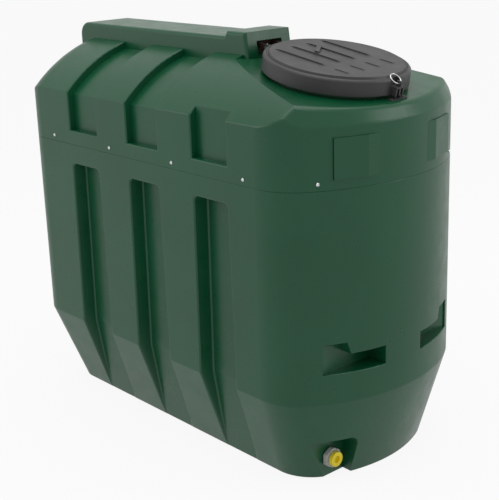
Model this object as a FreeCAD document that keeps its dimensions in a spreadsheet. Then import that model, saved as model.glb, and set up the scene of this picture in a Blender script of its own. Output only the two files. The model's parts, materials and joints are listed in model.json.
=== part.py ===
import FreeCAD, Part
import math
import os
import re
import Sketcher
from FreeCAD import Vector

# Slimline heating oil tank: an inner vessel that stands inside an outer bund,
# under a screwed-on cover with a hinged, lockable manway lid.
# Frame: +X towards the lid and outlet end, +Z up, origin under the middle of the footprint.

os.makedirs("parts", exist_ok=True)
doc = FreeCAD.newDocument("heating_oil_tank")

SIZES = {
    # Plan outline of the outer walls
    "length": 1564,
    "width": 820,
    "front_radius": 609,
    "front_corner": 180,
    "rear_corner": 100,
    "wall": 7,
    # Heights
    "bend_height": 302,
    "seam_height": 1000,
    "lip_height": 45,
    "lip_depth": 40,
    "lip_wall": 6,
    "seat_gap": 0.3,
    "lip_gap": 0.3,
    "seam_gap": 0.3,
    "seam_round": 2.5,
    # How far the base is drawn in below the bend
    "base_side_inset": 97,
    "base_rear_inset": 97,
    "base_front_inset": 86,
    "base_front_corner": 150,
    "base_rear_corner": 60,
    "bend_round": 18,
    "foot_round": 6,
    # Upright slots in the long walls
    "slot_pitch": 357,
    "slot_middle": -39,
    "slot_depth": 49,
    "slot_top": 927,
    "slot_floor_top": 142,
    "slot_floor_low": 160,
    "slot_flare": 0.27,
    "slot_corner": 18,
    "slot_cove": 7,
    "slot_lip": 7,
    "hold_round": 3,
    # Hand holds in the curved front
    "hold_floor": 698,
    "hold_inner": 84,
    "hold_step": 222,
    "hold_outer": 296,
    "hold_low": 403,
    "hold_mid": 464,
    "hold_high": 503,
    "hold_slant": 12,
    # Outlet recess at the foot of the front
    "outlet_plane": 640,
    "outlet_across": -210,
    "outlet_height": 69,
    "recess_inner": 147,
    "recess_outer": 345,
    "recess_high": 148,
    "recess_arch": 34,
    # Barrel roof of the cover
    "barrel_radius": 575,
    "barrel_axis": 790,
    "barrel_end_round": 113,
    "barrel_end_over": 2,
    "band_low": 1191,
    "band_slope": 24,
    "shoulder_round": 10,
    "band_round": 22,
    # Plateau that carries the lid
    "plateau_tilt": 10.5,
    "plateau_start": 192,
    "lid_along": 485,
    "lid_across": -10,
    "lid_seat_height": 1283.7,
    "lid_turn": 5,
    # Ridge and hinge block on the roof
    "ridge_near": 140,
    "ridge_far": 66,
    "ridge_top": 1403,
    "ridge_end_round": 48,
    "ridge_edge": 12,
    "block_start": 92,
    "block_step": 14,
    "block_top": 1421,
    "block_front": 200,
    "block_lean": 12,
    "hinge_pocket_width": 112,
    "hinge_niche_back": 50,
    "hinge_niche_high": 51,
    "hinge_screw_across": 14,
    "hinge_screw_up": 28,
    # Shallow recesses in the cover above the slots
    "recess_depth": 26,
    "recess_low": 1052,
    "recess_width": 172,
    "roof_lip": 6,
    # Flat pads on the cover's front
    "pad_low": 1031,
    "pad_high": 1158,
    "pad_from": 10.5,
    "pad_to": 25.4,
    "pad_proud": 6,
    # Manway collar and lid
    "collar_outer": 214,
    "collar_inner": 206,
    "lid_radius": 237,
    "lid_gap": 12,
    "lid_rim": 59,
    "lid_top": 68,
    "lid_disc": 219,
    "lid_wall": 5,
    "seal_thick": 5.4,
    "seal_width": 10,
    # Inner vessel
    "vessel_gap": 90,
    "vessel_floor_gap": 0.3,
    "vessel_wall": 7,
    "vessel_roof_gap": 55,
    "deck_drop": 96,
    # Cover screws
    "screw_height": 1021,
    "screw_pitch": 357.5,
    "screw_first": -590,
    "screw_head": 6,
    "screw_head_high": 4,
    "screw_shank": 2.4,
    "screw_long": 18,
    "screw_front_angle": 30,
    # Lid hinge and lock
    "rib_pitch": 75,
    "rib_start": -170,
    "rib_end": 55,
    "rib_width": 9,
    "rib_high": 4,
    "handle_rear": -105,
    "handle_front": -58,
    "handle_high": 9,
    "notch_width": 46,
    "notch_deep": 16,
    "notch_floor": 40,
    "shelf_out": 22,
    "eye_long": 18,
    "eye_thick": 6,
    "eye_high": 17,
    "staple_out": 249,
    "staple_width": 76,
    "staple_thick": 3,
    "staple_screw_across": 31,
    "hinge_back": 268,
    "hinge_up": 35,
    "hinge_pin": 4,
    "hinge_play": 0.05,
    "hinge_knuckle": 10,
    "hinge_arm": 8,
    "hinge_spread": 56,
    "bracket_thick": 4,
    "bracket_width": 96,
    "ring_radius": 19,
    "ring_wire": 2,
    "ring_hole": 4.5,
    "ring_tilt": 33.5,
    # Outlet fitting
    "outlet_tube": 24,
    "outlet_bore": 17,
    "outlet_boss": 50,
    "boss_plane": 596,
    "outlet_flange": 36,
    "outlet_nut": 34.5,
    "outlet_nut_thick": 18,
    "gasket_thick": 3,
    "plug_flange": 25.5,
    "plug_thick": 12,
    "plug_hole": 12,
    "plug_reach": 18,
    "plug_seal_thick": 2,
    "fit_gap": 0.05,
    "strainer_long": 60,
    # Fittings on the deck of the inner vessel
    "fill_along": -75,
    "fill_across": -75,
    "fill_pipe": 30,
    "fill_flange": 48,
    "fill_high": 46,
    "fill_cap": 40,
    "vent_along": 85,
    "vent_across": 70,
    "vent_pipe": 20,
    "vent_high": 52,
    "vent_hood": 36,
    "hatch_along": -50,
    "hatch_across": 88,
    "hatch_radius": 62,
    "hatch_high": 24,
    "sensor_along": 80,
    "sensor_across": -70,
    "sensor_high": 48,
    "sensor_pipe": 16,
}

sheet = doc.addObject("Spreadsheet::Sheet", "dims")
for row, (name, size) in enumerate(SIZES.items(), start=1):
    sheet.set(f"A{row}", name)
    sheet.set(f"B{row}", str(size))
    sheet.setAlias(f"B{row}", name)
doc.recompute()


def tied(text):
    """Turn the size names in an expression into references to the sheet."""
    return re.sub(r"[a-z_]+", lambda word: "dims." + word[0] if word[0] in SIZES else word[0], text)


def worth(text):
    """The number that an expression has now, used to start a sketch near its solution."""
    return float(sheet.evalExpression(tied(text)))


def bind(thing, **ties):
    """Tie properties to expressions; a double underscore stands for a dot."""
    for path, text in ties.items():
        thing.setExpression(path.replace("__", "."), tied(text))
    return thing


def put(thing, x="0", y="0", z="0"):
    """Move a thing to a place given by expressions."""
    return bind(thing, Placement__Base__x=x, Placement__Base__y=y, Placement__Base__z=z)


def draw(sketch, corners):
    """Closed anticlockwise outline; a third entry at a corner bows the edge after it outwards."""
    spots = [Vector(worth(corner[0]), worth(corner[1]), 0) for corner in corners]
    count = len(corners)
    for i, corner in enumerate(corners):
        start = spots[i]
        end = spots[(i + 1) % count]
        if len(corner) == 2:
            sketch.addGeometry(Part.LineSegment(start, end), False)
            continue
        radius = worth(corner[2])
        chord = end - start
        half = chord.Length / 2
        rise = radius - math.sqrt(max(radius * radius - half * half, 0))
        outward = Vector(chord.y, -chord.x, 0).normalize()
        middle = (start + end) * 0.5 + outward * rise
        sketch.addGeometry(Part.Arc(start, middle, end), False)
    for i, corner in enumerate(corners):
        sketch.addConstraint(Sketcher.Constraint("Coincident", i, 2, (i + 1) % count, 1))
        for kind, text in zip(("DistanceX", "DistanceY"), corner):
            place = sketch.addConstraint(Sketcher.Constraint(kind, -1, 1, i, 1, worth(text)))
            sketch.setExpression(f"Constraints[{place}]", tied(text))
        if len(corner) == 3:
            place = sketch.addConstraint(Sketcher.Constraint("Radius", i, worth(corner[2])))
            sketch.setExpression(f"Constraints[{place}]", tied(corner[2]))
    return sketch


PLANES = {
    "XY": FreeCAD.Rotation(0, 0, 0),
    "XZ": FreeCAD.Rotation(Vector(1, 0, 0), 90),
    "YZ": FreeCAD.Rotation(Vector(1, 1, 1), 120),
}


def free_sketch(name, corners, plane="XY", x="0", y="0", z="0"):
    """A sketch that stands by itself on a plane parallel to two axes."""
    sketch = doc.addObject("Sketcher::SketchObject", name)
    sketch.Placement = FreeCAD.Placement(Vector(), PLANES[plane])
    put(sketch, x, y, z)
    return draw(sketch, corners)


def prism(name, corners, length, plane="XY", x="0", y="0", z="0", both=False):
    """A straight-sided solid on a free sketch; it grows along +Z, -Y or +X."""
    sketch = free_sketch(name + "_outline", corners, plane, x, y, z)
    solid = doc.addObject("Part::Extrusion", name)
    solid.Base = sketch
    solid.DirMode = "Normal"
    solid.Solid = True
    solid.Symmetric = both
    return bind(solid, LengthFwd=length)


def spun(name, corners):
    """A body of revolution about the Z axis from a profile in the XZ plane."""
    sketch = free_sketch(name + "_profile", corners, "XZ")
    solid = doc.addObject("Part::Revolution", name)
    solid.Source = sketch
    solid.Axis = Vector(0, 0, 1)
    solid.Angle = 360
    solid.Solid = True
    return solid


def loft(name, sketches):
    """A ruled solid through sketches."""
    solid = doc.addObject("Part::Loft", name)
    solid.Sections = sketches
    solid.Solid = True
    solid.Ruled = True
    return solid


def box(name, along, across, high, x="0", y="0", z="0"):
    """A block from its near corner."""
    return put(bind(doc.addObject("Part::Box", name), Length=along, Width=across, Height=high), x, y, z)


def rod(name, radius, high, x="0", y="0", z="0", towards=None):
    """A cylinder that rises along +Z, or along the axis named by towards."""
    solid = bind(doc.addObject("Part::Cylinder", name), Radius=radius, Height=high)
    if towards == "X":
        solid.Placement = FreeCAD.Placement(Vector(), FreeCAD.Rotation(Vector(0, 1, 0), 90))
    if towards == "Y":
        solid.Placement = FreeCAD.Placement(Vector(), FreeCAD.Rotation(Vector(1, 0, 0), -90))
    return put(solid, x, y, z)


def join(name, *things):
    """One solid from several."""
    solid = doc.addObject("Part::MultiFuse", name)
    solid.Shapes = list(things)
    solid.Refine = True
    return solid


def shared(name, *things):
    """What several solids have in common."""
    solid = doc.addObject("Part::MultiCommon", name)
    solid.Shapes = list(things)
    return solid


def cut(name, whole, *tools):
    """A solid less its tools."""
    for i, tool in enumerate(tools):
        less = doc.addObject("Part::Cut", name if i == len(tools) - 1 else f"{name}_less_{i}")
        less.Base = whole
        less.Tool = tool
        less.Refine = True
        whole = less
    return whole


def mirrored(name, thing):
    """The same thing on the other side of the long middle plane."""
    twin = doc.addObject("Part::Mirroring", name)
    twin.Source = thing
    twin.Normal = Vector(0, 1, 0)
    return twin


def rounded(name, thing, *rules):
    """Fillet edges; each rule is a radius and a test that picks the edges it goes to."""
    doc.recompute()
    chosen = []
    for radius, wanted in rules:
        size = worth(radius)
        numbers = [i for i, edge in enumerate(thing.Shape.Edges, start=1) if wanted(edge)]
        if not numbers:
            raise RuntimeError(f"{name}: no edge to round")
        chosen += [(number, size, size) for number in numbers]
    solid = doc.addObject("Part::Fillet", name)
    solid.Base = thing
    solid.Edges = chosen
    return solid


def middle_of(edge):
    return edge.valueAt((edge.FirstParameter + edge.LastParameter) / 2)


def near(value, target, reach=0.6):
    return abs(value - target) < reach


def on_wall(point):
    """Whether a point lies on the outline of the outer walls."""
    centre = worth("length / 2 - front_radius")
    radius = worth("front_radius")
    corner = worth("front_corner")
    reach = math.sqrt((radius - corner) ** 2 - (worth("width / 2") - corner) ** 2)
    spot = Vector(point.x, abs(point.y), 0)
    at_side = near(spot.y, worth("width / 2"))
    at_rear = near(spot.x, -worth("length / 2"))
    at_front = near(math.hypot(spot.x - centre, spot.y), radius)
    at_bend = near(math.hypot(spot.x - centre - reach, spot.y - worth("width / 2") + corner), corner)
    back = worth("rear_corner")
    rear = math.hypot(spot.x + worth("length / 2") - back, spot.y - worth("width / 2") + back)
    return at_side or at_rear or at_front or at_bend or near(rear, back)


def piece(thing, label):
    """Name a finished piece."""
    thing.Label = label
    PIECES.append(thing)
    return thing


PIECES = []
LID_FRAME = (
    "placement(vector(lid_along; lid_across; lid_seat_height);"
    " rotation(vector(0; 1; 0); plateau_tilt) * rotation(vector(0; 0; 1); lid_turn))"
)


def on_lid_seat(thing):
    """Set a piece, modelled about its own Z axis, on the tilted lid seat."""
    thing.setExpression("Placement", tied(LID_FRAME))
    return thing


# Plan outline

def plan(g="0", low=False):
    """Outline of the outer walls, drawn in by g; low gives the one at the foot."""
    side = "base_side_inset" if low else "0"
    rear = "base_rear_inset" if low else "0"
    front = "base_front_inset" if low else "0"
    corner = "base_front_corner" if low else "front_corner"
    back = "base_rear_corner" if low else "rear_corner"
    half = f"(width / 2 - {side} - ({g}))"
    end = f"(length / 2 - {rear} - ({g}))"
    arc = f"(front_radius - {front} - ({g}))"
    turn = f"({corner} - min({corner} - 5; {g}))"
    bend = f"({back} - min({back} - 5; {g}))"
    centre = "(length / 2 - front_radius)"
    reach = f"sqrt(({arc} - {turn})^2 - ({half} - {turn})^2)"
    touch_x = f"{centre} + {arc} * {reach} / ({arc} - {turn})"
    touch_y = f"{arc} * ({half} - {turn}) / ({arc} - {turn})"
    return [
        (f"-{end} + {bend}", f"-{half}"),
        (f"{centre} + {reach}", f"-{half}", turn),
        (touch_x, f"-({touch_y})", arc),
        (touch_x, touch_y, turn),
        (f"{centre} + {reach}", half),
        (f"-{end} + {bend}", half, bend),
        (f"-{end}", f"{half} - {bend}"),
        (f"-{end}", f"-({half} - {bend})", bend),
    ]


def tapered_block(name, g, floor, top):
    """The walls from the foot to a height: drawn in below the bend and upright above it."""
    low = free_sketch(name + "_low", plan(g, low=True), z=floor)
    high = free_sketch(name + "_bend", plan(g), z="bend_height")
    foot = loft(name + "_foot", [low, high])
    upright = prism(name + "_upright", plan(g), f"{top} - bend_height", z="bend_height")
    return join(name, foot, upright)


# Outer bund

def slot_tool(name, g):
    """A slot's hollow, grown by g: upright floor above the bend, running out at the foot."""
    far_out = "(width / 2 + 30)"
    sketches = []
    for tag, level, depth, floor in (
        ("low", "-1", "base_side_inset", "slot_floor_low"),
        ("bend", "bend_height", "slot_depth", "slot_floor_low"),
        ("top", f"slot_top + ({g})", "slot_depth", "slot_floor_top"),
    ):
        back = f"(width / 2 - {depth} - ({g}))"
        half = f"({floor} / 2 + ({g}))"
        mouth = f"({half} + slot_flare * ({far_out} - {back}))"
        corners = [
            (f"-{mouth}", f"-{far_out}"), (mouth, f"-{far_out}"), (half, f"-{back}"), (f"-{half}", f"-{back}"),
        ]
        sketches.append(free_sketch(f"{name}_{tag}", corners, z=level))
    return loft(name, sketches)


def slots(name, g):
    """Six slot tools, three on each long side; only the true hollows have rounded corners and coves."""
    far_out = worth("width / 2 + 30")
    top = worth("slot_top")
    deep = worth("width / 2 - slot_depth")

    def at_head(edge):
        middle = middle_of(edge)
        return near(middle.z, top) and abs(middle.x) > 30 and abs(middle.y) < far_out - 5

    def at_floor(edge):
        middle = middle_of(edge)
        upright = near(middle.y, -deep, 2)
        sloping = abs(middle.x) < 90 and 20 < middle.z < worth("bend_height") - 20
        return upright or (sloping and -deep < middle.y < -deep + 40)

    tools = []
    for place in (-1, 0, 1):
        tool = slot_tool(f"{name}_{place + 1}", g)
        if g == "0":
            tool = rounded(f"{name}_{place + 1}_soft", tool, ("slot_corner", at_head))
            tool = rounded(f"{name}_{place + 1}_coved", tool, ("slot_cove", at_floor))
        put(tool, x=f"slot_middle + {place} * slot_pitch")
        tools.append(tool)
        tools.append(mirrored(f"{name}_{place + 1}_far", tool))
    return tools


def hold_outline(g):
    """A hand hold seen from the front, near side, in Y and Z."""
    return [
        (f"-hold_outer - ({g})", f"hold_low - ({g})"),
        (f"-hold_inner + ({g})", f"hold_low - ({g})"),
        (f"-hold_inner + ({g})", f"hold_mid + ({g})"),
        (f"-hold_step + ({g}) + hold_slant", f"hold_mid + ({g})"),
        (f"-hold_step + ({g})", f"hold_high + ({g})"),
        (f"-hold_outer - ({g})", f"hold_high + ({g})"),
    ]


def recess_outline(g):
    """The arched outlet recess seen from the front, in Y and Z."""
    return [
        (f"-recess_outer - ({g})", "-1"),
        (f"-recess_inner + ({g})", "-1"),
        (f"-recess_inner + ({g})", "recess_high - recess_arch", f"recess_arch + ({g})"),
        (f"-recess_inner - recess_arch", f"recess_high + ({g})"),
        (f"-recess_outer - ({g})", f"recess_high + ({g})"),
    ]


bund_solid = tapered_block("bund_solid", "0", "0", "seam_height")
bund_round = rounded(
    "bund_round", bund_solid, ("bend_round",
    lambda edge: near(middle_of(edge).z, worth("bend_height")) and near(edge.Vertexes[0].Z, edge.Vertexes[-1].Z)),
)
bund_hollow = tapered_block("bund_hollow", "wall", "wall", "seam_height + 1")
hold_tool = prism("hold_tool", hold_outline("0"), "200", "YZ", x="hold_floor")
hold_pod = prism("hold_pod", hold_outline("wall"), "200", "YZ", x="hold_floor - wall")
outlet_tool = prism("outlet_tool", recess_outline("0"), "200", "YZ", x="outlet_plane")
outlet_pod = prism("outlet_pod", recess_outline("wall"), "200", "YZ", x="outlet_plane - wall")
pods = slots("slot_pod", "wall") + [hold_pod, mirrored("hold_pod_far", hold_pod), outlet_pod]
hollows = slots("slot", "0") + [hold_tool, mirrored("hold_tool_far", hold_tool), outlet_tool]
bund_room = cut("bund_room", bund_hollow, join("pods", *pods))
bund_slotted = cut("bund_slotted", bund_round, join("hollows", *hollows))
bund_lipped = rounded(
    "bund_lipped", bund_slotted,
    ("slot_lip", lambda edge: near(abs(middle_of(edge).y), worth("width / 2"), 0.3)
     and worth("bend_height") + 8 < middle_of(edge).z < worth("slot_top") + 33),
    ("hold_round", lambda edge: worth("hold_low") - 8 < middle_of(edge).z < worth("hold_high") + 7
     and middle_of(edge).x > worth("hold_floor") - 1 and on_wall(middle_of(edge))),
)
bund_form = rounded(
    "bund_form", bund_lipped, ("foot_round",
    lambda edge: near(middle_of(edge).z, 0, 0.1) and near(edge.Vertexes[0].Z, 0, 0.1)),
)

lip_room = prism(
    "lip_room", plan("wall + lip_gap + lip_wall"), "lip_height + lip_depth + 2", z="seam_height - lip_depth - 1"
)
lip_root = prism("lip_root", plan("wall - 1"), "lip_depth - 4", z="seam_height - lip_depth")
lip_rise = prism("lip_rise", plan("wall + lip_gap"), "lip_height + lip_depth", z="seam_height - lip_depth")
lip = cut("lip", join("lip_block", lip_root, lip_rise), lip_room)
bund_walls = cut("bund_walls", bund_form, bund_room)
bund_shell = join("bund_shell", bund_walls, lip)
bund_edged = rounded(
    "bund_edged", bund_shell, ("seam_round",
    lambda edge: near(middle_of(edge).z, worth("seam_height"), 0.1) and on_wall(middle_of(edge))),
)


def screw(name, head, high, shank, long, seat="0"):
    """A domed screw about its own Z axis, its head above the seat and its shank below."""
    return spun(name, [
        ("0", f"{seat} - ({long})"),
        (shank, f"{seat} - ({long})"),
        (shank, seat),
        (head, seat),
        (head, f"{seat} + {high} / 3"),
        (f"{head} * 0.6", f"{seat} + {high}"),
        ("0", f"{seat} + {high}"),
    ])


SIDE_OUT = FreeCAD.Rotation(Vector(1, 0, 0), 90)


def side_screws(name, head, high, shank, long, out="0"):
    """Screws along the near wall and one on the curved front, heads outwards."""
    found = []
    for number in range(4):
        one = screw(f"{name}_{number}", head, high, shank, long)
        one.Placement = FreeCAD.Placement(Vector(), SIDE_OUT)
        put(one, f"screw_first + {number} * screw_pitch", f"-width / 2 - ({out})", "screw_height")
        found.append(one)
    front = screw(f"{name}_front", head, high, shank, long)
    turn = FreeCAD.Rotation(Vector(0, 0, 1), -worth("screw_front_angle")) * FreeCAD.Rotation(Vector(0, 1, 0), 90)
    front.Placement = FreeCAD.Placement(Vector(), turn)
    reach = f"(front_radius + ({out}))"
    put(
        front,
        f"length / 2 - front_radius + {reach} * cos(screw_front_angle)",
        f"-{reach} * sin(screw_front_angle)",
        "screw_height",
    )
    found.append(front)
    return found + [mirrored(one.Name + "_far", one) for one in found]


HOLE_LONG = "wall + lip_gap + lip_wall + 6"
screw_holes = join("screw_holes", *side_screws("screw_hole", "1", "1", "screw_shank + fit_gap", HOLE_LONG, "2"))
outlet_hole = rod("outlet_hole", "outlet_tube + fit_gap", "200", "540", "outlet_across", "outlet_height", "X")
piece(cut("bund_piece", bund_edged, screw_holes, outlet_hole), "outer_bund")

# Top cover

def above_plateau(name, drop, start):
    """Everything over the tilted plateau, lowered by drop, from an upright step at start."""
    rear = f"(plateau_start - ({start}))"
    slope = "tan(plateau_tilt)"
    low = f"lid_seat_height - ({drop}) / cos(plateau_tilt)"
    return prism(name, [
        (rear, f"{low} + (lid_along - {rear}) * {slope}"),
        ("900", f"{low} - (900 - lid_along) * {slope}"),
        ("900", "1600"),
        (rear, "1600"),
    ], "1000", "XZ", both=True)


def barrel(name, g):
    """The roof cylinder along X, its rear end rounded over."""
    start = f"-length / 2 + ({g}) - barrel_end_over"
    drum = rod(name, f"barrel_radius - ({g})", "length + 20", start, "0", "barrel_axis", "X")
    rear = worth(start)
    return rounded(
        name + "_domed", drum, (f"barrel_end_round - ({g})", lambda edge: near(middle_of(edge).x, rear, 0.1)),
    )


def cover_form(name, g):
    """Walls, barrel roof, sloping front band and plateau, drawn in by g."""
    walls = prism(name + "_walls", plan(g), "460", z="seam_height + seam_gap" + ("" if g == "0" else " - 1"))
    cone = bind(
        doc.addObject("Part::Cone", name + "_cone"),
        Radius1=f"front_radius + (band_low - seam_height + 100) * tan(band_slope) - ({g}) / cos(band_slope)",
        Radius2=f"front_radius - (1500 - band_low) * tan(band_slope) - ({g}) / cos(band_slope)",
        Height="1600 - seam_height",
    )
    put(cone, "length / 2 - front_radius", "0", "seam_height - 100")
    rear = box(name + "_rear", "1200", "1200", "700", "length / 2 - front_radius - 1200", "-600", "850")
    band = join(name + "_band", shared(name + "_front", cone, box(
        name + "_ahead", "700", "1400", "700", "length / 2 - front_radius - 10", "-700", "850"
    )), rear)
    whole = shared(name, walls, barrel(name + "_barrel", g), band)
    return cut(name + "_flat", whole, above_plateau(name + "_above", g, g))


def roof_ridge(name, g):
    """Ridge and hinge block as one profile along the roof."""
    rear = f"-length / 2 + ({g})"
    top = f"ridge_top - ({g})"
    crest = f"block_top - ({g})"
    bend = f"ridge_end_round - ({g})"
    front = f"block_front - ({g})"
    return prism(name, [
        (rear, "1210"),
        (f"{front} + block_lean + 6", "1290"),
        (f"{front} + block_lean", "1340"),
        (front, crest),
        (f"block_start + block_step + ({g}) * 0.6", crest),
        (f"block_start + ({g}) * 0.6", top),
        (f"{rear} + {bend}", top, bend),
        (rear, f"{top} - {bend}"),
    ], "ridge_near + ridge_far - 2 * (" + g + ")", "XZ", y=f"ridge_far - ({g})")


def roof_recess(name, g, place):
    """A shallow recess over a slot; the front one stays in the wall below the barrel."""
    low = f"recess_low - ({g})"
    half = f"(recess_width / 2 + ({g}))"
    deep = f"(recess_depth + ({g}))"
    start = f"slot_middle + {place} * slot_pitch - {half}"
    band = box(name + "_band", f"2 * {half}", "1000", "500", start, "-500", low)
    heart = box(name + "_heart", "2000", f"width - 2 * {deep}", "700", "-1000", f"-width / 2 + {deep}", "900")
    if place < 1:
        core = rod(name + "_core", f"barrel_radius - {deep}", "2000", "-1000", "0", "barrel_axis", "X")
        heart = shared(name + "_keep", heart, core)
    return cut(name, band, heart)


def front_pad(name):
    """A flat pad on the curved front that stands proud at its outer end."""
    centre = "length / 2 - front_radius"
    corners = []
    for reach, angle in (
        ("front_radius - 4", "pad_to"),
        ("front_radius + pad_proud", "pad_to"),
        ("front_radius + 0.2", "pad_from"),
        ("front_radius - 4", "pad_from"),
    ):
        corners.append((f"{centre} + ({reach}) * cos({angle})", f"-({reach}) * sin({angle})"))
    return prism(name, corners, "pad_high - pad_low", z="pad_low")


def seated(name, *things):
    """Things modelled about the lid's own axis, set together on the tilted lid seat."""
    group = doc.addObject("Part::Compound", name)
    group.Links = list(things)
    return on_lid_seat(group)


def hinge_niche(name, g):
    """The pocket in the hinge block, grown by g."""
    back = f"(hinge_back + hinge_niche_back + ({g}))"
    return box(
        name, f"{back} - 262", f"hinge_pocket_width + 2 * ({g})", f"hinge_niche_high + 2 * ({g})",
        f"-{back}", f"-hinge_pocket_width / 2 - ({g})", f"2 - ({g})",
    )


COLLAR_TOP = "(lid_top - lid_wall - seal_thick - 2 * seat_gap)"
collar_block = rod("collar_block", "collar_outer", COLLAR_TOP + " + 12", z="-12")
collar_bore = rod("collar_bore", "collar_inner", "200", z="-100")
cover_outer = cover_form("cover_outer", "0")
cover_soft = rounded(
    "cover_soft", cover_outer,
    ("shoulder_round", lambda edge: near(abs(middle_of(edge).y), worth("width / 2"), 0.2)
     and near(middle_of(edge).z, 1193, 6)),
    ("band_round", lambda edge: (near(middle_of(edge).z, worth("band_low"), 1) and middle_of(edge).x > 560)
     or (middle_of(edge).z > worth("band_low") + 9 and middle_of(edge).x > 600)),
)
roof_recesses = [roof_recess(f"roof_recess_{place + 1}", "0", place) for place in (-1, 0, 1)]
cover_cut = cut("cover_cut", cover_soft, *roof_recesses)
ridge_block = roof_ridge("ridge_block", "0")
ridge_soft = rounded(
    "ridge_soft", ridge_block, ("ridge_edge",
    lambda edge: middle_of(edge).z > 1345 and near(edge.Vertexes[0].Y, edge.Vertexes[-1].Y)),
)
pad = front_pad("pad")
cover_lipped = rounded(
    "cover_lipped", cover_cut,
    ("roof_lip", lambda edge: near(abs(middle_of(edge).y), worth("width / 2"), 0.3)
     and worth("recess_low") - 2 < middle_of(edge).z < worth("band_low") and -500 < middle_of(edge).x < 420),
    ("roof_lip", lambda edge: middle_of(edge).z > worth("band_low") - 6 and -500 < middle_of(edge).x < 60
     and near(math.hypot(middle_of(edge).y, middle_of(edge).z - worth("barrel_axis")), worth("barrel_radius"), 0.5)),
)
cover_full = join(
    "cover_full", cover_lipped, ridge_soft, pad, mirrored("pad_far", pad), seated("collar_seated", collar_block)
)

cover_room = cover_form("cover_room", "wall")
room_pods = [roof_recess(f"recess_pod_{place + 1}", "wall", place) for place in (-1, 0, 1)]
room_walls = cut("room_walls", cover_room, *room_pods)
room_whole = join("room_whole", room_walls, roof_ridge("ridge_room", "wall"))
room = cut("room", room_whole, seated("niche_pod_seated", hinge_niche("niche_pod", "wall")))

hinge_holes = []
for side in (-1, 1):
    hole = rod(
        f"hinge_hole_{side + 1}", "screw_shank + fit_gap", "60",
        "-hinge_back - hinge_niche_back - 20", f"{side} * hinge_screw_across", "hinge_screw_up", "X",
    )
    hinge_holes.append(hole)
staple_holes = []
for side in (-1, 1):
    hole = rod(
        f"staple_hole_{side + 1}", "screw_shank + fit_gap", "60",
        "staple_out", f"{side} * staple_screw_across", "-30",
    )
    staple_holes.append(hole)
tools = seated(
    "cover_tools", join("cover_tool_set", collar_bore, hinge_niche("niche", "0"), *hinge_holes, *staple_holes)
)
cover_shell = cut("cover_shell", cover_full, room)
cover_piece = cut("cover_piece", cover_shell, tools, screw_holes)
piece(cover_piece, "top_cover")

# Inner vessel

DECK = "(-deck_drop)"
FITTINGS = {
    "fill": ("fill_along", "fill_across", "fill_pipe + fit_gap"),
    "vent": ("vent_along", "vent_across", "vent_pipe + fit_gap"),
    "sensor": ("sensor_along", "sensor_across", "sensor_pipe + fit_gap"),
}


def along_outlet(name, radius, start, end, bore=None):
    """A disc or ring on the outlet's axis."""
    disc = rod(name + "_disc", radius, f"({end}) - ({start})", start, "outlet_across", "outlet_height", "X")
    if bore is None:
        return disc
    return cut(name, disc, rod(
        name + "_bore", bore, f"({end}) - ({start}) + 10", f"({start}) - 5", "outlet_across", "outlet_height", "X"
    ))


def vessel_form(name, g):
    """The inner vessel, drawn in by g."""
    floor = f"(wall + vessel_floor_gap + ({g}))"
    walls = tapered_block(name + "_walls", f"vessel_gap + ({g})", floor, "1400")
    radius = f"barrel_radius - vessel_roof_gap - ({g})"
    drum = rod(name + "_drum", radius, "2000", "-1000", "0", "barrel_axis", "X")
    wide = box(name + "_wide", "2000", "2000", "barrel_axis", "-1000", "-1000")
    arched = shared(name, walls, join(name + "_arch", drum, wide))
    roof = above_plateau(name + "_above", f"deck_drop + ({g})", f"({g}) + 60")
    boss = along_outlet(name + "_boss", f"outlet_boss - ({g})", "480", f"boss_plane - ({g})")
    return join(name + "_full", cut(name + "_flat", arched, roof), boss)


neck = rod("neck", "hatch_radius", "hatch_high + 8", "hatch_along", "hatch_across", DECK + " - 8")
neck_bore = rod("neck_bore", "hatch_radius - wall", "hatch_high + 60", "hatch_along", "hatch_across", DECK + " - 30")
deck_holes = [neck_bore]
for name, (along, across, radius) in FITTINGS.items():
    deck_holes.append(rod(name + "_hole", radius, "40", along, across, DECK + " - 20"))
vessel_outer = join("vessel_outer", vessel_form("vessel", "0"), seated("neck_seated", neck))
vessel_shell = cut("vessel_shell", vessel_outer, vessel_form("vessel_room", "vessel_wall"))
vessel_tools = seated("vessel_tools", join("vessel_tool_set", *deck_holes))
piece(cut("vessel_piece", vessel_shell, vessel_tools, outlet_hole), "inner_tank")

# Manway lid, hinge and lock

lid_outer = spun("lid_outer", [
    ("0", "lid_gap"),
    ("lid_radius + 1", "lid_gap"),
    ("lid_radius", "lid_rim - 3"),
    ("lid_radius - 3", "lid_rim + 1"),
    ("lid_disc + 8", "lid_rim + 4"),
    ("lid_disc + 5", "lid_rim + 1"),
    ("lid_disc + 2", "lid_rim + 1"),
    ("lid_disc - 2", "lid_top"),
    ("0", "lid_top"),
])
lid_hollow = spun("lid_hollow", [
    ("0", "lid_gap - 1"),
    ("lid_radius - lid_wall", "lid_gap - 1"),
    ("lid_radius - lid_wall", "lid_rim - lid_wall"),
    ("lid_disc - 1", "lid_rim - lid_wall + 1"),
    ("lid_disc - 4", "lid_top - lid_wall"),
    ("0", "lid_top - lid_wall"),
])
rib_across = ("-rib_pitch * 1.5", "-rib_pitch / 2", "rib_pitch / 2", "rib_pitch * 1.5")
trims = []
for number, across in enumerate(rib_across):
    trims.append(prism(f"rib_{number}", [
        ("rib_start", "lid_top - 1"),
        ("rib_end", "lid_top - 1"),
        ("rib_end - 26", "lid_top + rib_high"),
        ("rib_start + 26", "lid_top + rib_high"),
    ], "rib_width", "XZ", y=f"{across} + rib_width / 2"))
    trims.append(prism(f"mark_{number}", [
        ("rib_end + 22", "lid_top - 1"),
        ("rib_end + 96", "lid_top - 1"),
        ("rib_end + 80", "lid_top + rib_high / 2"),
        ("rib_end + 38", "lid_top + rib_high / 2"),
    ], "rib_width", "XZ", y=f"{across} + rib_width / 2"))
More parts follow.
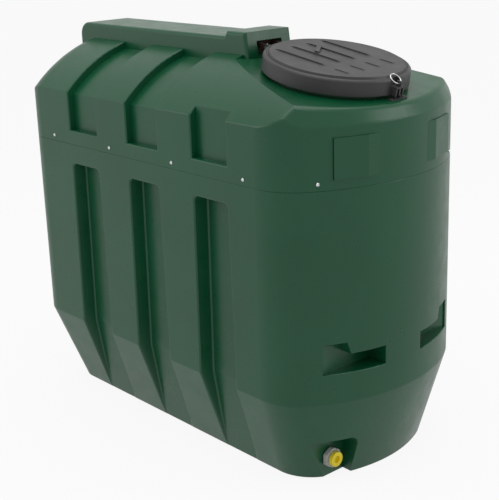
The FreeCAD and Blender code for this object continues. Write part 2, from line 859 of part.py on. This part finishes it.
handle = prism("handle", [
    ("handle_rear - 9", "rib_pitch / 2 - 3"),
    ("handle_front - 9", "-rib_pitch / 2 + 3"),
    ("handle_front + 9", "-rib_pitch / 2 + 3"),
    ("handle_rear + 9", "rib_pitch / 2 - 3"),
], "handle_high + 1", z="lid_top - 1")
arms = []
for side in (-1, 1):
    middle = f"{side} * hinge_spread / 2"
    knuckle = rod(
        f"knuckle_{side + 1}", "hinge_knuckle", "hinge_arm",
        "-hinge_back", f"{middle} - hinge_arm / 2", "hinge_up", "Y",
    )
    beam = box(
        f"beam_{side + 1}", "hinge_back - lid_radius + 4", "hinge_arm", "16",
        "-hinge_back", f"{middle} - hinge_arm / 2", "hinge_up - 8",
    )
    arms += [knuckle, beam]
notch = box(
    "notch", "80", "notch_width", "60", "lid_radius - notch_deep", "-notch_width / 2", "notch_floor"
)
notch_pod = box(
    "notch_pod", "80", "notch_width + 2 * lid_wall", "60",
    "lid_radius - notch_deep - lid_wall", "-notch_width / 2 - lid_wall", "notch_floor - lid_wall",
)
shelf = box(
    "shelf", "notch_deep + shelf_out", "notch_width - 6", "lid_wall",
    "lid_radius - notch_deep", "-notch_width / 2 + 3", "notch_floor - lid_wall",
)
eye = box(
    "eye", "eye_long", "eye_thick", "eye_high + 1",
    "lid_radius + shelf_out - eye_long", "-eye_thick / 2", "notch_floor - 1",
)
lug_parts = [shelf, eye]
for number, across in enumerate(("-notch_width / 2 + 3", "-eye_thick / 2", "notch_width / 2 - 3 - eye_thick")):
    lug_parts.append(box(
        f"cheek_{number}", "shelf_out + 2", "eye_thick", "notch_floor - lid_wall - lid_gap + 1",
        "lid_radius - 4", across, "lid_gap",
    ))
lid_room = cut("lid_room", lid_hollow, notch_pod)
lid_notched = cut("lid_notched", lid_outer, notch)
lid_form = cut("lid_form", lid_notched, lid_room)
EYE_X = "(lid_radius + shelf_out - eye_long / 2)"
EYE_Z = "(notch_floor + eye_high - 8)"
eye_hole = rod("eye_hole", "ring_hole", "60", EYE_X, "-30", EYE_Z, "Y")
pin_hole = rod("pin_hole", "hinge_pin + hinge_play", "200", "-hinge_back", "-100", "hinge_up", "Y")
lid_whole = join("lid_whole", lid_form, handle, *trims, *arms, *lug_parts)
lid_cut = cut("lid_cut", lid_whole, eye_hole, pin_hole)
piece(seated("lid_piece", lid_cut), "manway_lid")

SEAL_LOW = COLLAR_TOP + " + seat_gap"
seal_mean = "(collar_outer + collar_inner) / 2"
lid_seal = cut(
    "lid_seal_ring",
    rod("lid_seal_block", seal_mean + " + seal_width / 2", "seal_thick", z=SEAL_LOW),
    rod("lid_seal_bore", seal_mean + " - seal_width / 2", "40", z=SEAL_LOW + " - 10"),
)
piece(seated("lid_seal_piece", lid_seal), "lid_seal")

PLATE_BACK = "(-hinge_back - hinge_niche_back + seat_gap)"
bracket_parts = [box(
    "bracket_plate", "bracket_thick", "bracket_width", "hinge_niche_high - 6",
    PLATE_BACK, "-bracket_width / 2", "5",
)]
for side in (-1, 1):
    start = f"{side} * (hinge_spread / 2 + hinge_arm + 0.5) - hinge_arm / 2"
    bracket_parts.append(rod(
        f"cheek_eye_{side + 1}", "hinge_knuckle", "hinge_arm", "-hinge_back", start, "hinge_up", "Y"
    ))
    bracket_parts.append(box(
        f"cheek_beam_{side + 1}", "hinge_niche_back - seat_gap", "hinge_arm", "18",
        PLATE_BACK, start, "hinge_up - 9",
    ))
bracket_hole = rod("bracket_hole", "hinge_pin + seat_gap", "200", "-hinge_back", "-100", "hinge_up", "Y")
bracket = cut("bracket", join("bracket_block", *bracket_parts), bracket_hole, *hinge_holes)
piece(seated("bracket_piece", bracket), "hinge_bracket")

pin_half = "(hinge_spread / 2 + hinge_arm * 1.5 + 0.5)"
pin = join(
    "pin",
    rod(
        "pin_shank", "hinge_pin", f"2 * {pin_half} + 8",
        "-hinge_back", f"-{pin_half} - seat_gap - 1", "hinge_up", "Y",
    ),
    rod("pin_head", "hinge_pin + 3", "3", "-hinge_back", f"-{pin_half} - seat_gap - 3", "hinge_up", "Y"),
)
piece(seated("pin_piece", pin), "hinge_pin")
clip = cut(
    "clip",
    rod("clip_disc", "hinge_pin + 3.5", "1.6", "-hinge_back", f"{pin_half} + seat_gap", "hinge_up", "Y"),
    rod("clip_bore", "hinge_pin + fit_gap", "20", "-hinge_back", f"{pin_half} - 5", "hinge_up", "Y"),
)
piece(seated("clip_piece", clip), "pin_clip")

hinge_screw_set = []
for side in (-1, 1):
    one = screw(f"hinge_screw_{side + 1}", "screw_head", "3", "screw_shank", "14")
    one.Placement = FreeCAD.Placement(Vector(), FreeCAD.Rotation(Vector(0, 1, 0), 90))
    put(one, PLATE_BACK + " + bracket_thick + seat_gap", f"{side} * hinge_screw_across", "hinge_screw_up")
    hinge_screw_set.append(one)
piece(seated("hinge_screws_piece", *hinge_screw_set), "hinge_screws")

TONGUE = "(eye_thick / 2 + notch_width / 4 - eye_thick / 4 - 1.5)"
TONGUE_HIGH = "notch_floor - lid_wall - 4"
tongues = []
for number, middle in enumerate((TONGUE, f"-{TONGUE}")):
    tongues.append(box(
        f"staple_tongue_{number}", "10", "staple_thick", TONGUE_HIGH,
        "staple_out - 7", middle + " - staple_thick / 2", "seat_gap",
    ))
plate = box("staple_plate", "24", "staple_width", "staple_thick", "staple_out - 12", "-staple_width / 2", "seat_gap")
staple = join("staple", plate, *tongues)
piece(seated("staple_piece", cut("staple_drilled", staple, *staple_holes)), "lock_staple")
staple_screw_set = []
for side in (-1, 1):
    one = screw(f"staple_screw_{side + 1}", "screw_head - 1", "3", "screw_shank", "13")
    put(one, "staple_out", f"{side} * staple_screw_across", "staple_thick + 2 * seat_gap")
    staple_screw_set.append(one)
piece(seated("staple_screws_piece", *staple_screw_set), "staple_screws")

lock_ring = bind(
    doc.addObject("Part::Torus", "lock_ring_loop"), Radius1="ring_radius", Radius2="ring_wire"
)
lock_ring.Placement = FreeCAD.Placement(Vector(), FreeCAD.Rotation(Vector(0, 1, 0), worth("ring_tilt")))
put(lock_ring, EYE_X + " - ring_radius * cos(ring_tilt)", "0", EYE_Z + " + ring_radius * sin(ring_tilt)")
piece(seated("ring_piece", lock_ring), "lock_ring")

screw_set = doc.addObject("Part::Compound", "screw_set")
screw_set.Links = side_screws(
    "cover_screw", "screw_head", "screw_head_high", "screw_shank", "screw_long", "seat_gap"
)
piece(screw_set, "cover_screws")

# Outlet through both walls at the foot of the front

def six_sided(name, radius, start, end):
    """A hexagonal nut blank with its corners turned down."""
    flats = doc.addObject("Part::Prism", name + "_flats")
    flats.Polygon = 6
    flats.Placement = FreeCAD.Placement(Vector(), FreeCAD.Rotation(Vector(0, 1, 0), 90))
    bind(flats, Circumradius=f"({radius}) * 1.06", Height=f"({end}) - ({start})")
    put(flats, start, "outlet_across", "outlet_height")
    return shared(name, flats, along_outlet(name + "_turned", radius, start, end))


INNER_FACE = "(boss_plane - vessel_wall)"
TUBE_END = "(outlet_plane + 3 * seat_gap + gasket_thick + outlet_nut_thick)"
inner_flange = along_outlet(
    "inner_flange", "outlet_flange",
    INNER_FACE + " - gasket_thick - 2 * seat_gap - 8", INNER_FACE + " - gasket_thick - 2 * seat_gap",
)
tube = along_outlet("tube", "outlet_tube", INNER_FACE + " - gasket_thick - 2 * seat_gap - 8", TUBE_END)
tube_bore = along_outlet("tube_bore", "outlet_bore", "500", "700")
piece(cut("outlet_body_piece", join("outlet_block", inner_flange, tube), tube_bore), "outlet_body")
piece(along_outlet(
    "inner_gasket", "outlet_flange - 2", INNER_FACE + " - gasket_thick - seat_gap", INNER_FACE + " - seat_gap",
    "outlet_tube + fit_gap",
), "outlet_inner_gasket")
piece(cut(
    "inner_nut",
    six_sided("inner_nut_blank", "outlet_flange", "boss_plane + seat_gap", "boss_plane + seat_gap + 12"),
    along_outlet("inner_nut_bore", "outlet_tube + fit_gap", "590", "630"),
), "outlet_inner_nut")
piece(along_outlet(
    "outer_gasket", "outlet_nut - 2", "outlet_plane + seat_gap", "outlet_plane + seat_gap + gasket_thick",
    "outlet_tube + fit_gap",
), "outlet_outer_gasket")
NUT_SEAT = "(outlet_plane + 2 * seat_gap + gasket_thick)"
piece(cut(
    "outer_nut", six_sided("outer_nut_blank", "outlet_nut", NUT_SEAT, NUT_SEAT + " + outlet_nut_thick - 2"),
    along_outlet("outer_nut_bore", "outlet_tube + fit_gap", "630", "680"),
), "outlet_nut")
piece(along_outlet(
    "plug_seal", "outlet_tube - 1", TUBE_END + " + seat_gap", TUBE_END + " + seat_gap + plug_seal_thick",
    "outlet_bore + fit_gap",
), "outlet_plug_seal")
PLUG_FACE = TUBE_END + " + 2 * seat_gap + plug_seal_thick"
plug_head = along_outlet("plug_head", "plug_flange", PLUG_FACE, PLUG_FACE + " + plug_thick")
plug_body = along_outlet("plug_body", "outlet_bore - fit_gap", PLUG_FACE + " - plug_reach", PLUG_FACE + " + 2")
plug_well = along_outlet("plug_well", "plug_hole", PLUG_FACE + " + 3", PLUG_FACE + " + plug_thick + 5")
piece(cut("outlet_plug_piece", join("plug_block", plug_head, plug_body), plug_well), "outlet_plug")
STRAINER_END = INNER_FACE + " + 2"
screen = along_outlet("screen", "outlet_bore - fit_gap", STRAINER_END + " - strainer_long", STRAINER_END)
SCREEN_END = STRAINER_END + " - strainer_long + 2"
screen_bore = along_outlet("screen_bore", "outlet_bore - 2", SCREEN_END, STRAINER_END + " + 5")
slits = []
for number in range(5):
    slits.append(box(
        f"slit_{number}", "4", "80", "20",
        STRAINER_END + f" - strainer_long + 6 + {number} * 7.5", "outlet_across - 40", "outlet_height - 10",
    ))
piece(cut("strainer_piece", screen, screen_bore, *slits), "outlet_strainer")

# Fittings on the deck under the lid, modelled about the lid's own axis


def on_deck(name, place, radius, low, high, bore=None):
    """A disc or ring that stands on the deck at a fitting's place."""
    x, y = place
    disc = rod(name + "_disc", radius, f"({high}) - ({low})", x, y, f"{DECK} + ({low})")
    if bore is None:
        return disc
    return cut(name, disc, rod(name + "_bore", bore, f"({high}) - ({low}) + 10", x, y, f"{DECK} + ({low}) - 5"))


def screw_cap(name, place, radius, low, top, over, ceiling):
    """A cap with a skirt over a neck, ribbed for the hand."""
    block = on_deck(name + "_block", place, radius, low, top)
    hollow = on_deck(name + "_hollow", place, over, f"({low}) - 1", ceiling)
    grips = []
    for number in range(12):
        x = f"{place[0]} + ({radius} + 1) * cos({number * 30})"
        y = f"{place[1]} + ({radius} + 1) * sin({number * 30})"
        grips.append(on_deck(f"{name}_grip_{number}", (x, y), "3", f"({low}) - 1", f"({top}) + 1"))
    return cut(name, block, hollow, *grips)


FILL = ("fill_along", "fill_across")
GASKET_TOP = "gasket_thick + 2 * seat_gap"
piece(seated("fill_gasket_piece", on_deck(
    "fill_gasket_ring", FILL, "fill_flange - 3", "seat_gap", "seat_gap + gasket_thick", "fill_pipe + fit_gap",
)), "fill_gasket")
fill_block = join(
    "fill_block",
    on_deck("fill_flange_disc", FILL, "fill_flange", GASKET_TOP, GASKET_TOP + " + 8"),
    on_deck("fill_pipe_disc", FILL, "fill_pipe", "-30", "fill_high"),
)
fill_bore = on_deck("fill_bore", FILL, "fill_pipe - 6", "-40", "fill_high + 10")
piece(seated("fill_body_piece", cut("fill_body_cut", fill_block, fill_bore)), "fill_body")
piece(seated("fill_cap_seal_piece", on_deck(
    "fill_cap_ring", FILL, "fill_pipe - 0.5", "fill_high + seat_gap", "fill_high + seat_gap + plug_seal_thick",
    "fill_pipe - 5.5",
)), "fill_cap_seal")
FILL_CEILING = "fill_high + 2 * seat_gap + plug_seal_thick"
piece(seated("fill_cap_piece", screw_cap(
    "fill_cap_cut", FILL, "fill_cap", "fill_high - 24",
    FILL_CEILING + " + 6", "fill_pipe + fit_gap", FILL_CEILING,
)), "fill_cap")

VENT = ("vent_along", "vent_across")
vent_block = join(
    "vent_block",
    on_deck("vent_flange", VENT, "vent_pipe + 12", "seat_gap", "7"),
    on_deck("vent_tube", VENT, "vent_pipe", "-18", "vent_high"),
)
vent_bore = on_deck("vent_bore", VENT, "vent_pipe - 5", "-30", "vent_high + 10")
gap_along = box("gap_along", "80", "10", "20", "vent_along - 40", "vent_across - 5", DECK + " + vent_high - 8")
gap_across = box("gap_across", "10", "80", "20", "vent_along - 5", "vent_across - 40", DECK + " + vent_high - 8")
piece(seated("vent_body_piece", cut("vent_body_cut", vent_block, vent_bore, gap_along, gap_across)), "vent_body")
hood_block = on_deck("hood_block", VENT, "vent_hood", "vent_high - 16", "vent_high + 12")
hood_soft = rounded(
    "hood_soft", hood_block, ("8", lambda edge: near(middle_of(edge).z, worth(DECK + " + vent_high + 12"), 0.1)),
)
hood_room = on_deck("hood_room", VENT, "vent_hood - 5", "vent_high - 20", "vent_high + seat_gap")
piece(seated("vent_hood_piece", cut("vent_hood_cut", hood_soft, hood_room)), "vent_hood")

HATCH = ("hatch_along", "hatch_across")
piece(seated("hatch_seal_piece", on_deck(
    "hatch_seal_ring", HATCH, "hatch_radius - 0.5",
    "hatch_high + seat_gap", "hatch_high + seat_gap + gasket_thick", "hatch_radius - wall + 0.5",
)), "inspection_seal")
HATCH_CEILING = "hatch_high + 2 * seat_gap + gasket_thick"
piece(seated("hatch_cap_piece", screw_cap(
    "hatch_cap_cut", HATCH, "hatch_radius + 9", "5",
    HATCH_CEILING + " + 6", "hatch_radius + fit_gap", HATCH_CEILING,
)), "inspection_cap")

SENSOR = ("sensor_along", "sensor_across")
piece(seated("sensor_gasket_piece", on_deck(
    "sensor_gasket_ring", SENSOR, "sensor_pipe + 12",
    "seat_gap", "seat_gap + gasket_thick", "sensor_pipe + fit_gap",
)), "sensor_gasket")
sensor_block = join(
    "sensor_block",
    on_deck("sensor_base", SENSOR, "sensor_pipe + 16", GASKET_TOP, GASKET_TOP + " + 7"),
    on_deck("sensor_head", SENSOR, "sensor_pipe + 10", GASKET_TOP + " + 6", "sensor_high"),
    on_deck("sensor_horn", SENSOR, "sensor_pipe", "-34", GASKET_TOP + " + 1"),
)
sensor_cone = on_deck("sensor_cone", SENSOR, "sensor_pipe - 4", "-40", "-10")
sensor_soft = rounded(
    "sensor_soft", cut("sensor_cut", sensor_block, sensor_cone), ("5",
    lambda edge: near(middle_of(edge).z, worth(DECK + " + sensor_high"), 0.1)),
)
piece(seated("sensor_piece", sensor_soft), "level_sensor")

doc.recompute()
faults = [thing.Name for thing in doc.Objects if set(thing.State) & {"Invalid", "Error"}]
faults += [thing.Label for thing in PIECES if thing.Shape.isNull() or not thing.Shape.isValid()]
if faults:
    raise RuntimeError("faulty: " + ", ".join(faults))
for thing in PIECES:
    thing.Shape.exportStep(f"parts/{thing.Label}.step")
    print(thing.Label, len(thing.Shape.Solids), round(thing.Shape.Volume / 1e3, 1))
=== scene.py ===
import json
import math

import bmesh
import bpy
from mathutils import Matrix, Vector


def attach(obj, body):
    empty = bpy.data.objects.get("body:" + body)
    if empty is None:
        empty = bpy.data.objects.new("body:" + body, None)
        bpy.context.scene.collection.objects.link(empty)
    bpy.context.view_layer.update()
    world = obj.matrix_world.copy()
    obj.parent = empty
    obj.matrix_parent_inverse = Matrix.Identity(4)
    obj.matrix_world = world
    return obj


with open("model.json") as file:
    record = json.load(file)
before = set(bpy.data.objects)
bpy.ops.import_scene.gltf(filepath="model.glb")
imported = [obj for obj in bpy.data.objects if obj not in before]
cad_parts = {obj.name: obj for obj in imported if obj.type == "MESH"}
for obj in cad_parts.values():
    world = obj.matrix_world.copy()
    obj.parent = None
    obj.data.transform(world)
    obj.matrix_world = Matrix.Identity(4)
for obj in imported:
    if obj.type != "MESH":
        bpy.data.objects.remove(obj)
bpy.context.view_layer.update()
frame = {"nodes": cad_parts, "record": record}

IMAGE_WIDTH = 499
IMAGE_HEIGHT = 500


def look_from(place, yaw, pitch, roll, focal_px, centre_px):
    """The camera at the photograph's viewing angle; angles in degrees, focal length in pixels."""
    yaw, pitch, roll = (math.radians(angle) for angle in (yaw, pitch, roll))
    ahead = Vector((-math.sin(yaw) * math.cos(pitch), math.cos(yaw) * math.cos(pitch), -math.sin(pitch)))
    level = Vector((math.cos(yaw), math.sin(yaw), 0))
    upright = level.cross(ahead)
    right = math.cos(roll) * level + math.sin(roll) * upright
    up = -math.sin(roll) * level + math.cos(roll) * upright
    turn = Matrix((right, up, -ahead)).transposed().to_4x4()
    data = bpy.data.cameras.new("studio_camera")
    data.sensor_fit = "HORIZONTAL"
    data.sensor_width = 36
    data.lens = focal_px * 36 / IMAGE_WIDTH
    data.shift_x = (IMAGE_WIDTH / 2 - centre_px[0]) / IMAGE_WIDTH
    data.shift_y = (centre_px[1] - IMAGE_HEIGHT / 2) / IMAGE_WIDTH
    camera = bpy.data.objects.new("studio_camera", data)
    camera.matrix_world = Matrix.Translation(place) @ turn
    bpy.context.collection.objects.link(camera)
    bpy.context.scene.camera = camera
    return camera


look_from(
    place=(2.9995, -2.5674, 1.8287), yaw=49.212, pitch=17.307, roll=-1.937,
    focal_px=1115.82, centre_px=(248.85, 250.08),
)
bpy.context.scene.view_settings.view_transform = "Standard"


# Materials

def colour(code):
    """Linear colour from a hex code."""
    parts = [int(code[i:i + 2], 16) / 255 for i in (1, 3, 5)]
    return [c / 12.92 if c <= 0.04045 else ((c + 0.055) / 1.055) ** 2.4 for c in parts] + [1]


class Tree:
    """Short names for building a node tree."""

    def __init__(self, name):
        self.material = bpy.data.materials.new(name)
        self.material.use_nodes = True
        self.nodes = self.material.node_tree.nodes
        self.links = self.material.node_tree.links
        self.shader = self.nodes["Principled BSDF"]
        self.place = self.add("ShaderNodeTexCoord").outputs["Object"]

    def add(self, kind, **values):
        node = self.nodes.new(kind)
        for key, value in values.items():
            setattr(node, key, value)
        return node

    def noise(self, scale, detail=2.0, roughness=0.5, stretch=None):
        node = self.add("ShaderNodeTexNoise")
        node.inputs["Scale"].default_value = scale
        node.inputs["Detail"].default_value = detail
        node.inputs["Roughness"].default_value = roughness
        source = self.place
        if stretch:
            mapping = self.add("ShaderNodeMapping")
            mapping.inputs["Scale"].default_value = stretch
            self.links.new(source, mapping.inputs["Vector"])
            source = mapping.outputs["Vector"]
        self.links.new(source, node.inputs["Vector"])
        return node.outputs["Fac"]

    def ramp(self, source, stops):
        node = self.add("ShaderNodeValToRGB")
        for i, (position, value) in enumerate(stops):
            element = node.color_ramp.elements[i] if i < 2 else node.color_ramp.elements.new(position)
            element.position = position
            element.color = value
        self.links.new(source, node.inputs["Fac"])
        return node.outputs["Color"]

    def bump(self, source, strength, distance, under=None):
        node = self.add("ShaderNodeBump")
        node.inputs["Strength"].default_value = strength
        node.inputs["Distance"].default_value = distance
        self.links.new(source, node.inputs["Height"])
        if under:
            self.links.new(under, node.inputs["Normal"])
        return node.outputs["Normal"]

    def edges(self, radius):
        node = self.add("ShaderNodeBevel", samples=6)
        node.inputs["Radius"].default_value = radius
        return node.outputs["Normal"]


def moulded(name, base, roughness, soft_edge=0.0, shift=0.12, grain=0.0006, coat=0.0, specular=0.5):
    """Moulded plastic: slight colour drift, waviness of the wall and a fine orange-peel grain."""
    tree = Tree(name)
    centre = colour(base)
    darker = [c * (1 - shift) for c in centre[:3]] + [1]
    lighter = [c * (1 + shift) for c in centre[:3]] + [1]
    drift = tree.ramp(tree.noise(3.1, 4), [(0.35, darker), (0.65, lighter)])
    tree.links.new(drift, tree.shader.inputs["Base Color"])
    shine = tree.ramp(tree.noise(17, 5), [(0.3, [roughness - 0.04] * 3 + [1]), (0.7, [roughness + 0.05] * 3 + [1])])
    tree.links.new(shine, tree.shader.inputs["Roughness"])
    normal = tree.edges(soft_edge) if soft_edge else None
    normal = tree.bump(tree.noise(5.5, 1), 0.25, 0.004, normal)
    normal = tree.bump(tree.noise(420, 2), 0.22, grain, normal)
    tree.links.new(normal, tree.shader.inputs["Normal"])
    tree.shader.inputs["Coat Weight"].default_value = coat
    tree.shader.inputs["Coat Roughness"].default_value = 0.12
    tree.shader.inputs["Specular IOR Level"].default_value = specular
    return tree.material


def metal(name, base, roughness, stretch=(1, 1, 30)):
    """Bare metal with a fine drawn grain."""
    tree = Tree(name)
    centre = colour(base)
    tone = tree.ramp(
        tree.noise(90, 3, stretch=stretch), [(0.3, [c * 0.86 for c in centre[:3]] + [1]), (0.7, centre)]
    )
    tree.links.new(tone, tree.shader.inputs["Base Color"])
    tree.shader.inputs["Metallic"].default_value = 1
    shine = tree.ramp(tree.noise(60, 3), [(0.3, [roughness * 0.8] * 3 + [1]), (0.7, [roughness * 1.25] * 3 + [1])])
    tree.links.new(shine, tree.shader.inputs["Roughness"])
    normal = tree.bump(tree.noise(260, 2, stretch=stretch), 0.1, 0.0003)
    tree.links.new(normal, tree.shader.inputs["Normal"])
    return tree.material


def rubber(name, base):
    """Dull black rubber with a fine grain."""
    tree = Tree(name)
    centre = colour(base)
    tone = tree.ramp(tree.noise(40, 3), [(0.3, [c * 0.8 for c in centre[:3]] + [1]), (0.7, centre)])
    tree.links.new(tone, tree.shader.inputs["Base Color"])
    tree.shader.inputs["Roughness"].default_value = 0.75
    normal = tree.bump(tree.noise(700, 2), 0.3, 0.0003)
    tree.links.new(normal, tree.shader.inputs["Normal"])
    return tree.material


FINISHES = {
    "shell_green": moulded("green_moulded_shell", "#054F2F", 0.3, shift=0.06, grain=0.0002),
    "vessel_plastic": moulded("dark_vessel_plastic", "#2A2D2C", 0.42),
    "lid_plastic": moulded("grey_lid_plastic", "#373737", 0.42, soft_edge=0.0015),
    "rubber": rubber("black_rubber", "#1A1A1A"),
    "hinge_metal": moulded("dark_painted_steel", "#33211F", 0.4),
    "steel": metal("plain_steel", "#A9ABAC", 0.3),
    "bright_steel": metal("bright_steel", "#E4E6E8", 0.16),
    "fitting_grey": moulded("pale_grey_plastic", "#B9B9B4", 0.4, soft_edge=0.0015),
    "plug_yellow": moulded("yellow_plastic", "#F0D91E", 0.38, soft_edge=0.0015),
    "brass": metal("plain_brass", "#B08D4A", 0.3),
    "sensor_plastic": moulded("charcoal_plastic", "#303437", 0.42),
}
slots = {entry["node"]: entry["material_slot"] for entry in frame["record"]["subparts"]}
for node, piece in frame["nodes"].items():
    piece.data.materials.clear()
    piece.data.materials.append(FINISHES[slots[node]])


# Front pads

MM = 0.001


def closed_prism(bm, low, high):
    """A closed solid between two outlines with the same number of corners, in millimetres."""
    rings = [[bm.verts.new(Vector(corner) * MM) for corner in outline] for outline in (low, high)]
    count = len(low)
    bm.faces.new(reversed(rings[0]))
    bm.faces.new(rings[1])
    for i in range(count):
        after = (i + 1) % count
        bm.faces.new((rings[0][i], rings[0][after], rings[1][after], rings[1][i]))


def mesh_object(name, fill):
    """An object whose mesh fill() builds in the row frame."""
    bm = bmesh.new()
    fill(bm)
    bmesh.ops.recalc_face_normals(bm, faces=bm.faces)
    mesh = bpy.data.meshes.new(name)
    bm.to_mesh(mesh)
    bm.free()
    thing = bpy.data.objects.new(name, mesh)
    bpy.context.collection.objects.link(thing)
    return thing


FRONT_CENTRE = 173
FRONT_RADIUS = 609
PAD_PROFILE = ((25.4, -3), (25.4, 6.5), (14.6, 6), (10.6, 0.3), (10.6, -3))
PAD_LEVELS = (1031, 1158)


def pad_on(side):
    """A flat pad on the curved front, proud at its outer end and ramped down at its inner one."""
    def fill(bm):
        corners = []
        for angle, proud in PAD_PROFILE:
            turn = math.radians(angle)
            reach = FRONT_RADIUS + proud
            corners.append((FRONT_CENTRE + reach * math.cos(turn), side * reach * math.sin(turn)))
        closed_prism(bm, *[[(x, y, level) for x, y in corners] for level in PAD_LEVELS])
    return fill


for label, side in (("near", -1), ("far", 1)):
    pad = mesh_object(f"{label}_front_pad", pad_on(side))
    pad.data.materials.append(FINISHES["shell_green"])
    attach(pad, "tank")


# Studio

def stage_material(name, shade):
    """Matt floor: the camera sees it white, with a trace of the object's shadow; reflections see a dimmer white
    glow with painted shade, fading towards the front (+X).
    """
    material = bpy.data.materials.new(name)
    material.use_nodes = True
    nodes = material.node_tree.nodes
    links = material.node_tree.links
    surface = nodes["Principled BSDF"]
    surface.inputs["Base Color"].default_value = colour(shade)
    surface.inputs["Roughness"].default_value = 0.9
    path = nodes.new("ShaderNodeLightPath")
    place = nodes.new("ShaderNodeTexCoord")
    split = nodes.new("ShaderNodeSeparateXYZ")
    links.new(place.outputs["Object"], split.inputs["Vector"])
    # Painted shade in reflections: the floor's glow falls from 0.78 at the back to 0.72 towards the front (+X).
    reflected_shade_fall = nodes.new("ShaderNodeMapRange")
    for key, value in (("From Min", -0.5), ("From Max", 1.6), ("To Min", 0.78), ("To Max", 0.72)):
        reflected_shade_fall.inputs[key].default_value = value
    links.new(split.outputs["X"], reflected_shade_fall.inputs["Value"])
    mirrored_shaded_white = nodes.new("ShaderNodeEmission")
    links.new(reflected_shade_fall.outputs["Result"], mirrored_shaded_white.inputs["Strength"])
    seen_white = nodes.new("ShaderNodeEmission")
    traced = nodes.new("ShaderNodeMixShader")
    traced.inputs["Fac"].default_value = 0.9
    links.new(surface.outputs["BSDF"], traced.inputs[1])
    links.new(seen_white.outputs["Emission"], traced.inputs[2])
    shiny = nodes.new("ShaderNodeMixShader")
    links.new(path.outputs["Is Glossy Ray"], shiny.inputs["Fac"])
    links.new(surface.outputs["BSDF"], shiny.inputs[1])
    links.new(mirrored_shaded_white.outputs["Emission"], shiny.inputs[2])
    last = nodes.new("ShaderNodeMixShader")
    links.new(path.outputs["Is Camera Ray"], last.inputs["Fac"])
    links.new(shiny.outputs["Shader"], last.inputs[1])
    links.new(traced.outputs["Shader"], last.inputs[2])
    links.new(last.outputs["Shader"], nodes["Material Output"].inputs["Surface"])
    return material


FLOOR_REACH = 60
FLOOR_DROP = 0.0005


def floor():
    """A wide floor just under the tank's feet."""
    size = FLOOR_REACH
    mesh = bpy.data.meshes.new("studio_floor")
    mesh.from_pydata([(-size, -size, 0), (size, -size, 0), (size, size, 0), (-size, size, 0)], [], [(0, 1, 2, 3)])
    mesh.materials.append(stage_material("studio_floor", "#F4F4F4"))
    plane = bpy.data.objects.new("studio_floor", mesh)
    plane.location.z = -FLOOR_DROP
    bpy.context.collection.objects.link(plane)


floor()


def lamp(name, place, aim, size, power):
    """A soft white rectangular lamp aimed at a point."""
    data = bpy.data.lights.new(name, "AREA")
    data.shape = "RECTANGLE"
    data.size = size[0]
    data.size_y = size[1]
    data.energy = power
    light = bpy.data.objects.new(name, data)
    light.location = place
    light.rotation_euler = (Vector(aim) - Vector(place)).to_track_quat("-Z", "Y").to_euler()
    bpy.context.collection.objects.link(light)
    return light


lamp("overhead", (0.2, -0.3, 4.2), (0, 0, 0.8), (3.5, 3.5), 50)
lamp("near_side", (-2.6, -3.6, 2.4), (-0.2, 0, 0.9), (2.5, 2.5), 22)
lamp("far_right", (3.6, 2.6, 2.6), (0.3, 0, 0.9), (2.0, 2.5), 30)

SKY_STRENGTH = 0.5
SKY_IN_REFLECTIONS = 0.45


def studio_world():
    """White surroundings: full white to the camera, dimmer in reflections and as light."""
    world = bpy.data.worlds.new("studio_world")
    bpy.context.scene.world = world
    world.use_nodes = True
    nodes, links = world.node_tree.nodes, world.node_tree.links
    light = nodes["Background"]
    light.inputs["Color"].default_value = colour("#FFFFFF")
    light.inputs["Strength"].default_value = SKY_STRENGTH
    seen = nodes.new("ShaderNodeBackground")
    seen.inputs["Color"].default_value = (1, 1, 1, 1)
    seen.inputs["Strength"].default_value = 1
    path = nodes.new("ShaderNodeLightPath")
    mix = nodes.new("ShaderNodeMixShader")
    mirrored = nodes.new("ShaderNodeMath")
    mirrored.operation = "MULTIPLY"
    mirrored.inputs[1].default_value = SKY_IN_REFLECTIONS
    links.new(path.outputs["Is Glossy Ray"], mirrored.inputs[0])
    either = nodes.new("ShaderNodeMath")
    either.operation = "MAXIMUM"
    links.new(path.outputs["Is Camera Ray"], either.inputs[0])
    links.new(mirrored.outputs["Value"], either.inputs[1])
    links.new(either.outputs["Value"], mix.inputs["Fac"])
    links.new(light.outputs["Background"], mix.inputs[1])
    links.new(seen.outputs["Background"], mix.inputs[2])
    links.new(mix.outputs["Shader"], nodes["World Output"].inputs["Surface"])


studio_world()
